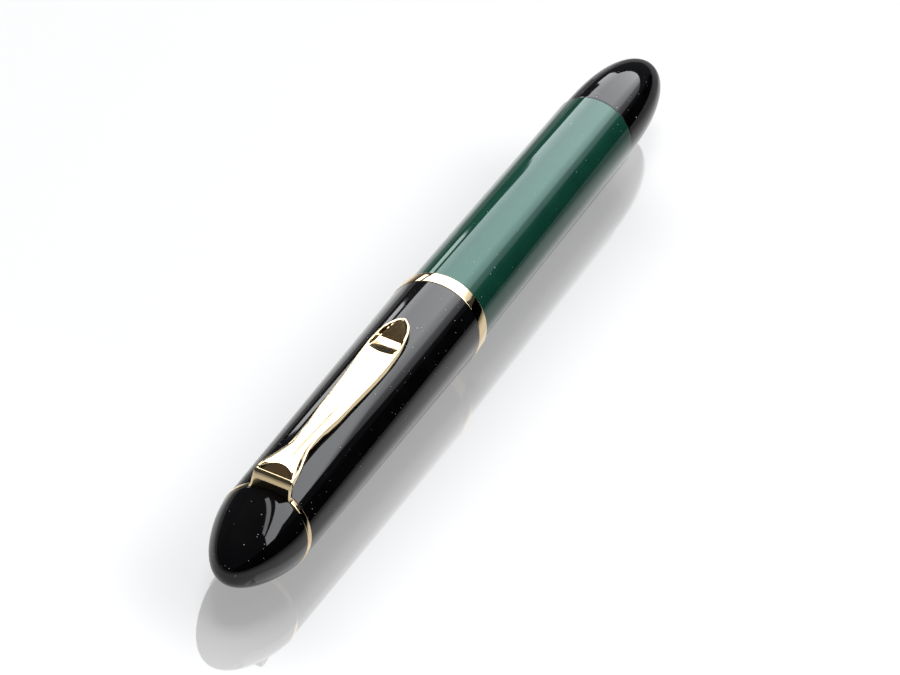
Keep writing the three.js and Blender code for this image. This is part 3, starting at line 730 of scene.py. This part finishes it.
def clip_section(x, half):
    """The strip's outline at one station, as places across it and heights over its outer face."""
    BEVEL_STEPS = 3
    EDGE_STEPS = 4
    UNDER_STEPS = 10
    on_arm = x > ARM_START
    edge = min(CLIP_EDGE, half * 0.4)
    under = -CLIP_SHEET - SEAT_DROP * math.exp(-((x - SEAT_X) / SEAT_REACH) ** 2)
    bevel = min(ARM_BEVEL(x) if on_arm else CLIP_EDGE, half - edge - 0.01)
    drop = BEVEL_SLOPE * bevel
    flat = half - edge - bevel
    lean = FLANK_LEAN * (CLIP_SHEET - 2 * edge) if on_arm else 0.0
    foot = half + max(lean - FLANK_LEAN * drop, 0.0)
    turns = [math.pi / 2 * k / EDGE_STEPS for k in range(EDGE_STEPS + 1)]
    right = [(flat + bevel * k / BEVEL_STEPS, -drop * k / BEVEL_STEPS) for k in range(1, BEVEL_STEPS + 1)]
    right += [(half - edge + edge * math.sin(a), -drop - edge + edge * math.cos(a)) for a in turns[1:]]
    right += [(foot - edge + edge * math.cos(a), under + edge - edge * math.sin(a)) for a in turns]
    below = [(float(s), under) for s in np.linspace(foot - edge, edge - foot, UNDER_STEPS + 1)][1:-1]
    left = [(-s, n) for s, n in reversed(right)]
    return clip_top(x, flat, on_arm) + right + below + left


def clip():
    """The neck and arm as one bent strip, bevelled where it flares, with flanks that lean outwards."""
    stations = clip_stations()
    rings = []
    for i, (x, z, half) in enumerate(stations):
        before, after = stations[max(i - 1, 0)], stations[min(i + 1, len(stations) - 1)]
        tangent = np.array([after[0] - before[0], after[1] - before[1]])
        tangent /= np.linalg.norm(tangent)
        normal = np.array([-tangent[1], tangent[0]])
        rings.append([(x + normal[0] * n, s, z + normal[1] * n) for s, n in clip_section(x, half)])
    points, faces = skin(rings)
    count = len(rings[0])
    faces.append(list(range(count)))
    faces.append(list(range(len(points) - count, len(points))))
    return points, faces


# ---------------------------------------------------------------- grip section, nib and feed

def grip_section():
    """The waisted grip with the cap's thread behind it and a spigot inside the ink window."""
    COLLAR_SEAT_R = 3.5
    FEED_BORE_R = 2.6
    SPIGOT_R = 4.6
    SPIGOT_LENGTH = 2
    before = [
        (SECTION_X + 13.5, COLLAR_SEAT_R),
        (SECTION_X, COLLAR_SEAT_R, 0.12),
        (SECTION_X, 4.58, 0.3),
        (SECTION_X + 1.0, 4.62, 0.5),
        (SECTION_X + 2.8, 4.42, 1.2),
        (SECTION_X + 8, 4.45, 4.0),
        (THREAD_X - 1, 4.78, 1.0),
        (THREAD_X - 0.1, THREAD_ROOT_R),
    ]
    after = [
        (THREAD_END + 0.4, WINDOW_R, 0.1),
        (SECTION_END - 0.02, WINDOW_R, 0.05),
        (SECTION_END - 0.02, SPIGOT_R),
        (SECTION_END + SPIGOT_LENGTH, SPIGOT_R),
        (SECTION_END + SPIGOT_LENGTH, FEED_BORE_R),
        (SECTION_X + 15, FEED_BORE_R),
    ]
    return threaded(before, after, THREAD_X, THREAD_END, THREAD_ROOT_R, THREAD_CREST_R, THREAD_LEAD,
                    THREAD_STARTS)


def nib_collar():
    """The sleeve that holds the nib and the feed in the section."""
    BORE_R = 2.8
    FRONT_R = 3.4
    TAIL_R = 3.1
    start, end = start_of("nib_collar"), end_of("nib_collar")
    return turned([
        (start, BORE_R),
        (start, FRONT_R, 0.1),
        (start + 9.8, TAIL_R),
        (end, TAIL_R, 0.1),
        (end, BORE_R),
    ], SMALL_SEGMENTS)


# Along the nib: height of its top line, radius of its bend, and half its width round the bend.
NIB_TOP = smooth_through([(NIB_X + 0.3, 0.9), (NIB_X + 2.5, 1.42), (NIB_X + 5.5, 1.95), (NIB_X + 9.5, 2.42),
                          (NIB_X + 14, 2.62), (SECTION_X, 2.7), (NIB_END, 2.7)])
NIB_BEND = smooth_through([(NIB_X + 0.3, 1.3), (NIB_X + 2.5, 1.7), (NIB_X + 5.5, 2.3), (NIB_X + 9.5, 2.85),
                           (NIB_X + 14, 2.75), (SECTION_X, 2.7), (NIB_END, 2.7)])
NIB_HALF = smooth_through([(NIB_X + 0.3, 0.28), (NIB_X + 2.5, 0.85), (NIB_X + 5.5, 1.9), (NIB_X + 8, 2.95),
                           (NIB_X + 9.5, 3.35), (NIB_X + 11.5, 3.4), (NIB_X + 14, 3.15), (SECTION_X, 2.95),
                           (NIB_END, 2.95)])


def nib_sheet():
    """The bent sheet of the nib, before its slit and breather hole are cut."""
    ACROSS = 36
    ALONG = 70
    rings = []
    for x in np.linspace(NIB_X + 0.3, NIB_END, ALONG + 1):
        top, bend, half = NIB_TOP(x), NIB_BEND(x), NIB_HALF(x)
        spread = np.linspace(-half / bend, half / bend, ACROSS + 1)
        outer = [(float(x), bend * math.sin(a), top - bend + bend * math.cos(a)) for a in spread]
        inner_r = bend - NIB_SHEET
        inner = [(float(x), inner_r * math.sin(a), top - bend + inner_r * math.cos(a)) for a in spread]
        rings.append(outer + inner[::-1])
    points, faces = skin(rings)
    count = len(rings[0])
    for first in (0, len(points) - count):
        for k in range(ACROSS):
            faces.append([first + k, first + k + 1, first + count - 2 - k, first + count - 1 - k])
    return points, faces


def post(x, r, low, high, sides=32):
    """An upright round bar."""
    rings = []
    for z in (low, high):
        angles = [2 * math.pi * k / sides for k in range(sides)]
        rings.append([(x + r * math.cos(a), r * math.sin(a), z) for a in angles])
    points, faces = skin(rings)
    return points, faces + [list(range(sides)), list(range(sides, 2 * sides))]


def nib_tipping():
    """The writing pellet under the tines."""
    SIDES = 32
    ROWS = 16
    LENGTHENED = 1.15
    r, centre_x, centre_z = 0.42, NIB_X + 0.48, 0.35
    rings = []
    for i in range(ROWS + 1):
        a = math.pi * i / ROWS
        x = centre_x - LENGTHENED * r * math.cos(a)
        q = r * math.sin(a)
        if i in (0, ROWS):
            rings.append([(x, 0.0, centre_z)])
        else:
            turns = [2 * math.pi * k / SIDES for k in range(SIDES)]
            rings.append([(x, q * math.sin(t), centre_z + q * math.cos(t)) for t in turns])
    return skin(rings)


def feed():
    """The ink feed, with comb fins cut into its lower side."""
    ROOT_R = 2.3
    POINT_X = NIB_X + 3.4
    END_X = SECTION_X + 16.5
    FIN_X = NIB_X + 8.4
    FIN_PITCH = 0.85
    FIN_SLOT = 0.4
    FIN_COUNT = 10
    SLOT_R = 1.3
    SIDE = 0.02                    # along the pen, how far a slot's side wall leans
    ROUND_STEPS = 64
    outline = smooth_through([(POINT_X, 0.3), (NIB_X + 3.9, 0.7), (NIB_X + 8, 1.75),
                              (NIB_X + 9.5, ROOT_R - 0.12), (SECTION_X - 0.5, ROOT_R), (END_X, ROOT_R)])
    angles = 2 * math.pi * (np.arange(ROUND_STEPS) + 0.5) / ROUND_STEPS
    below = np.cos(angles) < -0.25
    places = [(x, False) for x in np.linspace(POINT_X, FIN_X - 0.1, 14)]
    places += [(x, False) for x in np.linspace(FIN_X + FIN_COUNT * FIN_PITCH, END_X, 6)]
    for i in range(FIN_COUNT):
        slot = FIN_X + i * FIN_PITCH
        places += [(slot, False), (slot + SIDE, True)]
        places += [(slot + FIN_SLOT - SIDE, True), (slot + FIN_SLOT, False)]
    rings = [[(POINT_X, 0.0, 0.0)]]
    for x, slotted in sorted(places):
        r = outline(x)
        radii = np.where(below, min(SLOT_R, r), r) if slotted else np.full(ROUND_STEPS, r)
        rings.append(ring_at(float(x), radii, ROUND_STEPS))
    rings.append([(END_X, 0.0, 0.0)])
    return skin(rings)


# ---------------------------------------------------------------- barrel and filling mechanism

def ink_window():
    """A ring between the section's spigot and its own spigot inside the barrel."""
    SOCKET_R = 4.7
    SPIGOT_R = 4.9
    SPIGOT_LENGTH = 2.6
    return turned([
        (SECTION_END, SOCKET_R),
        (SECTION_END, WINDOW_R, 0.05),
        (BARREL_X, WINDOW_R, 0.05),
        (BARREL_X, SPIGOT_R),
        (BARREL_X + SPIGOT_LENGTH, SPIGOT_R),
        (BARREL_X + SPIGOT_LENGTH, CHAMBER_R),
        (SECTION_END + 2.1, CHAMBER_R),
        (SECTION_END + 2.1, SOCKET_R),
    ])


def barrel():
    """The tapering tube, with a socket for the window and a wider bore for the mechanism."""
    SOCKET_R = 5.0
    SOCKET_DEPTH = 2.7
    return turned([
        (BARREL_X + 0.02, SOCKET_R),
        (BARREL_X + 0.02, BARREL_FRONT_R, 0.15),
        (LIP_X, BARREL_FRONT_R),
        (BARREL_END, BARREL_TAIL_R, 0.14),
        (BARREL_END, MECHANISM_R),
        (MECHANISM_X, MECHANISM_R),
        (MECHANISM_X, CHAMBER_R),
        (BARREL_X + SOCKET_DEPTH, CHAMBER_R),
        (BARREL_X + SOCKET_DEPTH, SOCKET_R),
    ])


def knob():
    """The rounded tail, hollow where it holds the spindle and its ring."""
    STEPS = 72
    BORE_END = 121.9
    RECESS_R = 4.55
    SPINDLE_GAP = 0.15
    length = PEN_LENGTH - KNOB_X
    end = []
    for i in range(1, STEPS + 1):
        along = 1 - (1 - i / STEPS) ** CROWDING
        end.append((KNOB_X + length * along, KNOB_R * math.sqrt(max(0.0, 1 - along ** KNOB_POWER))))
    return turned([
        (BORE_END, 0),
        (BORE_END, SPINDLE_BORE_R),
        (SPINDLE_END + 0.2, SPINDLE_BORE_R),
        (SPINDLE_END + 0.2, SPINDLE_R + SPINDLE_GAP),
        (KNOB_X + 1.5, SPINDLE_R + SPINDLE_GAP),
        (KNOB_X + 1.5, RECESS_R),
        (KNOB_X, RECESS_R),
        (KNOB_X, KNOB_R, 0.14),
        *end,
    ])


def spindle():
    """The hollow stem that leads into the knob, threaded where it runs in its guide."""
    before = [(SPINDLE_END, SPINDLE_BORE_R), (SPINDLE_X, SPINDLE_BORE_R), (SPINDLE_X, SPINDLE_R)]
    after = [(SPINDLE_THREAD_END + 0.3, SPINDLE_R), (SPINDLE_END, SPINDLE_R, 0.12)]
    return threaded(before, after, SPINDLE_X + 0.1, SPINDLE_THREAD_END, SPINDLE_R, SPINDLE_CREST_R,
                    SPINDLE_LEAD, 1, SMALL_SEGMENTS)


def friction_ring():
    """A round-sectioned ring on the spindle."""
    STEPS = 20
    RING_MIDDLE_R = 3.85
    WIRE_R = 0.49
    x = (start_of("knob_friction_ring") + end_of("knob_friction_ring")) / 2
    circle = [2 * math.pi * k / STEPS for k in range(STEPS)]
    outline = [(x + WIRE_R * math.cos(a), RING_MIDDLE_R + WIRE_R * math.sin(a)) for a in circle]
    return turned(outline, SMALL_SEGMENTS)


# ---------------------------------------------------------------- assembly

SHAPES = {
    "cap_crown": crown,
    "clip_ring": clip_ring,
    "cap_tube": cap_tube,
    "cap_band": cap_band,
    "inner_cap": inner_cap,
    "grip_section": grip_section,
    "nib_collar": nib_collar,
    "feed": feed,
    "ink_window": ink_window,
    "barrel": barrel,
    "piston_knob": knob,
    "piston_spindle": spindle,
    "knob_friction_ring": friction_ring,
}


def build_pieces():
    """Makes the fine pieces, and gives the CAD solids that still show their materials."""
    for node, shape in SHAPES.items():
        add_piece(node, shape(), MATERIALS[SLOT[node]])
    arm = add_piece("clip", clip(), MATERIALS["gilt_trim"], crease=40, ride=False)
    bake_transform(arm)
    nib = add_piece("nib", nib_sheet(), MATERIALS["nib_gold"], crease=40)
    bored(nib, box_shape(NIB_X - 1, BREATHER_X, NIB_SLIT_HALF, 0, 4), post(BREATHER_X, BREATHER_R, 0, 4))
    tipping = add_piece("nib_tipping", nib_tipping(), MATERIALS["tipping_metal"], crease=60)
    bored(tipping, box_shape(NIB_X - 1, NIB_X + 2, NIB_SLIT_HALF, 0.2, 2))
    for node, cad in frame["nodes"].items():
        if not cad.hide_render:
            cad.data.materials.clear()
            cad.data.materials.append(MATERIALS[SLOT[node]])


# ---------------------------------------------------------------- studio helpers

def hide_from(obj, *rays):
    for kind in rays:
        setattr(obj, "visible_" + kind, False)


def flat_panel(name, corners):
    mesh = bpy.data.meshes.new(name)
    mesh.from_pydata(corners, [], [list(range(len(corners)))])
    panel = add_object(name, mesh)
    return panel


def emission(name, colour, strength):
    """A glowing material, with its node tree and its light node for changes."""
    material = bpy.data.materials.new(name)
    material.use_nodes = True
    tree = material.node_tree
    tree.nodes.clear()
    light = tree.nodes.new("ShaderNodeEmission")
    light.inputs["Color"].default_value = (*colour, 1)
    light.inputs["Strength"].default_value = strength
    out = tree.nodes.new("ShaderNodeOutputMaterial")
    tree.links.new(light.outputs["Emission"], out.inputs["Surface"])
    return material, tree, light


def object_axes(tree):
    """Sockets for where a point is along the object's own X, Y and Z, in metres."""
    where = tree.nodes.new("ShaderNodeTexCoord")
    apart = tree.nodes.new("ShaderNodeSeparateXYZ")
    tree.links.new(where.outputs["Object"], apart.inputs["Vector"])
    return apart.outputs


def computed(tree, operation, first, second):
    """An arithmetic node on a socket and on a second socket or number."""
    node = tree.nodes.new("ShaderNodeMath")
    node.operation = operation
    tree.links.new(first, node.inputs[0])
    if isinstance(second, bpy.types.NodeSocket):
        tree.links.new(second, node.inputs[1])
    else:
        node.inputs[1].default_value = second
    return node.outputs["Value"]


def map_range(tree, value, before, after=(0, 1), interpolation="LINEAR"):
    node = tree.nodes.new("ShaderNodeMapRange")
    node.interpolation_type = interpolation
    for socket, number in zip(("From Min", "From Max", "To Min", "To Max"), (*before, *after)):
        node.inputs[socket].default_value = number
    tree.links.new(value, node.inputs["Value"])
    return node.outputs["Result"]


# ---------------------------------------------------------------- table

def distance_from_pen(tree):
    """How far a place on the table is from the line that the pen lies on."""
    LINE_MIDDLE = -0.011
    HALF_LINE = 0.046
    axes = object_axes(tree)
    from_middle = computed(tree, "ABSOLUTE", computed(tree, "SUBTRACT", axes["X"], LINE_MIDDLE), 0)
    past_end = computed(tree, "MAXIMUM", computed(tree, "SUBTRACT", from_middle, HALF_LINE), 0)
    offset = tree.nodes.new("ShaderNodeCombineXYZ")
    tree.links.new(past_end, offset.inputs["X"])
    tree.links.new(axes["Y"], offset.inputs["Y"])
    distance = tree.nodes.new("ShaderNodeVectorMath")
    distance.operation = "LENGTH"
    tree.links.new(offset.outputs["Vector"], distance.inputs[0])
    return distance.outputs["Value"]


def make_floor():
    """A glowing white table under a glossy face, with a painted contact shadow: its glow is lower close round
    the pen.

    Where the pen's own gloss mirrors it, the table's glow also dims with the distance: painted shade seen
    only in reflections.
    """
    SIZE = 4.0
    # Painted contact shadow: over these distances from the pen's line the glow rises from its shaded value to
    # its open value.
    NEAR, FAR = 0.006, 0.02
    PAINTED_SHADOW_GLOW, FAR_GLOW = 0.42, 0.62
    # Painted shade in reflections: over these distances glossy rays see the glow fall to a share of itself.
    FADE_START, FADE_END = 0.015, 0.06
    PAINTED_SHADE_SHARE = 0.1
    MATTE = (0.1, 0.1, 0.1, 1)
    GLOSS_SHARE = 0.11
    GLOSS_ROUGHNESS = 0.03
    floor = flat_panel("floor", [(-SIZE, -SIZE, 0), (SIZE, -SIZE, 0), (SIZE, SIZE, 0), (-SIZE, SIZE, 0)])
    material, tree, light = emission("white_table_painted_shade", (1, 1, 1), FAR_GLOW)
    distance = distance_from_pen(tree)
    # Painted contact shadow: less glow close round the pen.
    glow = map_range(tree, distance, (NEAR, FAR), (PAINTED_SHADOW_GLOW, FAR_GLOW), "SMOOTHSTEP")
    # Painted shade that only glossy rays see: the glow falls away with the distance from the pen.
    painted_reflection_shade = map_range(tree, distance, (FADE_START, FADE_END), (1, PAINTED_SHADE_SHARE), "SMOOTHSTEP")
    rays = tree.nodes.new("ShaderNodeLightPath")
    fade = tree.nodes.new("ShaderNodeMix")
    fade.inputs["A"].default_value = 1.0
    tree.links.new(painted_reflection_shade, fade.inputs["B"])
    tree.links.new(rays.outputs["Is Glossy Ray"], fade.inputs["Factor"])
    power = computed(tree, "MULTIPLY", glow, fade.outputs["Result"])
    tree.links.new(power, light.inputs["Strength"])
    matte = tree.nodes.new("ShaderNodeBsdfDiffuse")
    matte.inputs["Color"].default_value = MATTE
    base = tree.nodes.new("ShaderNodeAddShader")
    mirror = tree.nodes.new("ShaderNodeBsdfGlossy")
    mirror.inputs["Roughness"].default_value = GLOSS_ROUGHNESS
    mix = tree.nodes.new("ShaderNodeMixShader")
    mix.inputs["Fac"].default_value = GLOSS_SHARE
    out = tree.nodes["Material Output"]
    tree.links.new(light.outputs["Emission"], base.inputs[0])
    tree.links.new(matte.outputs["BSDF"], base.inputs[1])
    tree.links.new(base.outputs["Shader"], mix.inputs[1])
    tree.links.new(mirror.outputs["BSDF"], mix.inputs[2])
    tree.links.new(mix.outputs["Shader"], out.inputs["Surface"])
    floor.data.materials.append(material)


# ---------------------------------------------------------------- light panels

DAYLIGHT = (0.955, 0.97, 1.0)
SOFTBOX_HEIGHT = 0.6
SOFTBOX_STRENGTH = 4.3

# Corners of the diffuser and its reflector, as shares of its height over the table.
SOFTBOX_OUTLINE = [(0, -2.6), (0, -0.87), (0.45, -0.09), (1.0, 0.75), (1.7, 1.9), (3.0, 1.9),
                   (3.0, 1.75), (5.4, 3.5), (6.5, 3.5), (3.0, 1.15), (3.0, -1.23), (1.9, -1.23),
                   (1.2, -0.97), (0.44, -1.18)]
SLIVER_OUTLINE = [(0, -0.52), (0.43, 0.28), (0.48, 0.2), (0, -0.75)]
CEILING_OUTLINE = [(-0.4, -0.5), (1.3, -0.5), (1.3, 1.2), (-0.4, 1.2)]

# Brightness across the diffuser: place as a share of its height, and share of the full strength.
SOFTBOX_FADE = [(-1.233, 0.02), (-1.08, 0.16), (-0.874, 0.2), (-0.72, 0.26), (-0.617, 0.58), (-0.386, 0.76),
                (-0.207, 0.97), (0.09, 0.91), (0.39, 0.82), (0.76, 0.70), (1.9, 0.70)]


def overhead(name, outline, raised=0.0):
    """A flat shape hung over the table that only mirroring surfaces see."""
    z = SOFTBOX_HEIGHT + raised
    panel = flat_panel(name, [(x * SOFTBOX_HEIGHT, y * SOFTBOX_HEIGHT, z) for x, y in outline])
    hide_from(panel, "camera", "diffuse", "shadow")
    return panel


def softbox_light():
    """The diffuser's glow: even at the near end, and fading across it behind the pen."""
    NEAR_SHARE = 0.93
    first, last = SOFTBOX_FADE[0][0], SOFTBOX_FADE[-1][0]
    material, tree, light = emission("softbox_light", DAYLIGHT, SOFTBOX_STRENGTH)
    axes = object_axes(tree)
    ramp = tree.nodes.new("ShaderNodeValToRGB")
    while len(ramp.color_ramp.elements) < len(SOFTBOX_FADE):
        ramp.color_ramp.elements.new(0.5)
    for element, (at, value) in zip(ramp.color_ramp.elements, SOFTBOX_FADE):
        element.position = (at - first) / (last - first)
        element.color = (value, value, value, 1)
    across = map_range(tree, axes["Y"], (first * SOFTBOX_HEIGHT, last * SOFTBOX_HEIGHT))
    tree.links.new(across, ramp.inputs["Fac"])
    mix = tree.nodes.new("ShaderNodeMix")
    mix.inputs["A"].default_value = NEAR_SHARE
    away = map_range(tree, axes["X"], (SOFTBOX_HEIGHT, 1.2 * SOFTBOX_HEIGHT))
    tree.links.new(away, mix.inputs["Factor"])
    tree.links.new(ramp.outputs["Color"], mix.inputs["B"])
    power = computed(tree, "MULTIPLY", mix.outputs["Result"], SOFTBOX_STRENGTH)
    tree.links.new(power, light.inputs["Strength"])
    return material


def make_softbox():
    """One large diffuser, a thin bright sliver and a dim warm ceiling over them."""
    box = overhead("softbox", SOFTBOX_OUTLINE)
    box.data.materials.append(softbox_light())
    sliver = overhead("sliver", SLIVER_OUTLINE)
    sliver.data.materials.append(emission("sliver_light", DAYLIGHT, 3.0)[0])
    ceiling = overhead("ceiling", CEILING_OUTLINE, raised=0.02)
    ceiling.data.materials.append(emission("ceiling_glow", (1.0, 0.86, 0.72), 0.07)[0])


def make_strip():
    """A small bright card low on the +Y side, seen as a thin line along the cap."""
    ANGLE = math.radians(73.2)
    WIDTH = 0.062
    DISTANCE = 0.3225
    START, END = 0.27, 0.42
    middle = Vector((0, math.sin(ANGLE), math.cos(ANGLE))) * DISTANCE
    across = Vector((0, math.cos(ANGLE), -math.sin(ANGLE))) * WIDTH / 2
    corners = []
    for x, side in ((START, -1), (END, -1), (END, 1), (START, 1)):
        corners.append(tuple(Vector((x, 0, 0)) + middle + side * across))
    strip = flat_panel("strip_light", corners)
    hide_from(strip, "camera", "diffuse", "shadow")
    strip.data.materials.append(emission("strip_glow", (1, 1, 1), 3.0)[0])


def make_flag():
    """A low dark card on the -Y side that the pen's flank mirrors."""
    Y = -0.09
    START, END, TOP = -0.3, 0.6, 0.06
    flag = flat_panel("flag", [(START, Y, 0), (END, Y, 0), (END, Y, TOP), (START, Y, TOP)])
    hide_from(flag, "camera", "diffuse", "shadow", "transmission")
    flag.data.materials.append(emission("flag_black", (0, 0, 0), 0.0)[0])


def make_backdrop():
    """A pale wall far round the table that only the camera sees."""
    SIDES = 48
    RADIUS = 3.9
    HEIGHT = 4.0
    points = []
    for z in (0.0, HEIGHT):
        turns = [2 * math.pi * k / SIDES for k in range(SIDES)]
        points += [(RADIUS * math.cos(t), RADIUS * math.sin(t), z) for t in turns]
    faces = [[k, (k + 1) % SIDES, SIDES + (k + 1) % SIDES, SIDES + k] for k in range(SIDES)]
    mesh = bpy.data.meshes.new("backdrop")
    mesh.from_pydata(points, [], faces)
    wall = add_object("backdrop", mesh)
    hide_from(wall, "diffuse", "glossy", "transmission", "shadow")
    mesh.materials.append(emission("backdrop_glow", (1, 1, 1), 0.8)[0])


def area_light(name, size, energy, place_at):
    """A soft light aimed at the pen that its gloss doesn't mirror."""
    data = bpy.data.lights.new(name, "AREA")
    data.size = size
    data.energy = energy
    light = add_object(name, data)
    light.location = place_at
    light.rotation_euler = Vector(place_at).to_track_quat("Z", "Y").to_euler()
    hide_from(light, "glossy", "camera")


def make_world():
    """A faint bluish light from everywhere."""
    world = bpy.data.worlds.new("studio")
    bpy.context.scene.world = world
    world.use_nodes = True
    background = world.node_tree.nodes["Background"]
    background.inputs["Color"].default_value = (0.9, 0.93, 1.0, 1)
    background.inputs["Strength"].default_value = 0.05


# ---------------------------------------------------------------- camera

CAMERA_YAW = math.radians(71.534)
CAMERA_PITCH = math.radians(36.262)
CAMERA_ROLL = math.radians(10.147)
CAMERA_LENS = 234.2
CAMERA_PLACE = Vector((-0.55599, -0.18644, 0.43169))


def make_camera():
    """A long lens that looks down at the pen from the cap's end."""
    forward = Vector((
        math.sin(CAMERA_YAW) * math.cos(CAMERA_PITCH),
        math.cos(CAMERA_YAW) * math.cos(CAMERA_PITCH),
        -math.sin(CAMERA_PITCH),
    ))
    level = Vector((math.cos(CAMERA_YAW), -math.sin(CAMERA_YAW), 0))
    upright = level.cross(forward)
    right = math.cos(CAMERA_ROLL) * level + math.sin(CAMERA_ROLL) * upright
    up = math.cos(CAMERA_ROLL) * upright - math.sin(CAMERA_ROLL) * level
    data = bpy.data.cameras.new("camera")
    data.lens = CAMERA_LENS
    data.sensor_width = 36
    data.clip_start = 0.01
    camera = add_object("camera", data)
    turn = Matrix((right, up, -forward)).transposed().to_4x4()
    camera.matrix_world = Matrix.Translation(CAMERA_PLACE) @ turn
    bpy.context.scene.camera = camera


# ---------------------------------------------------------------- the scene

make_camera()
build_pieces()
make_floor()
make_softbox()
make_strip()
make_backdrop()
make_flag()
area_light("fill", size=1.4, energy=7.0, place_at=(0.0, 0.0, 1.0))
area_light("key", size=0.5, energy=22.0, place_at=(0.25, 0.2, 1.15))
make_world()
bpy.context.scene.view_settings.view_transform = "Standard"
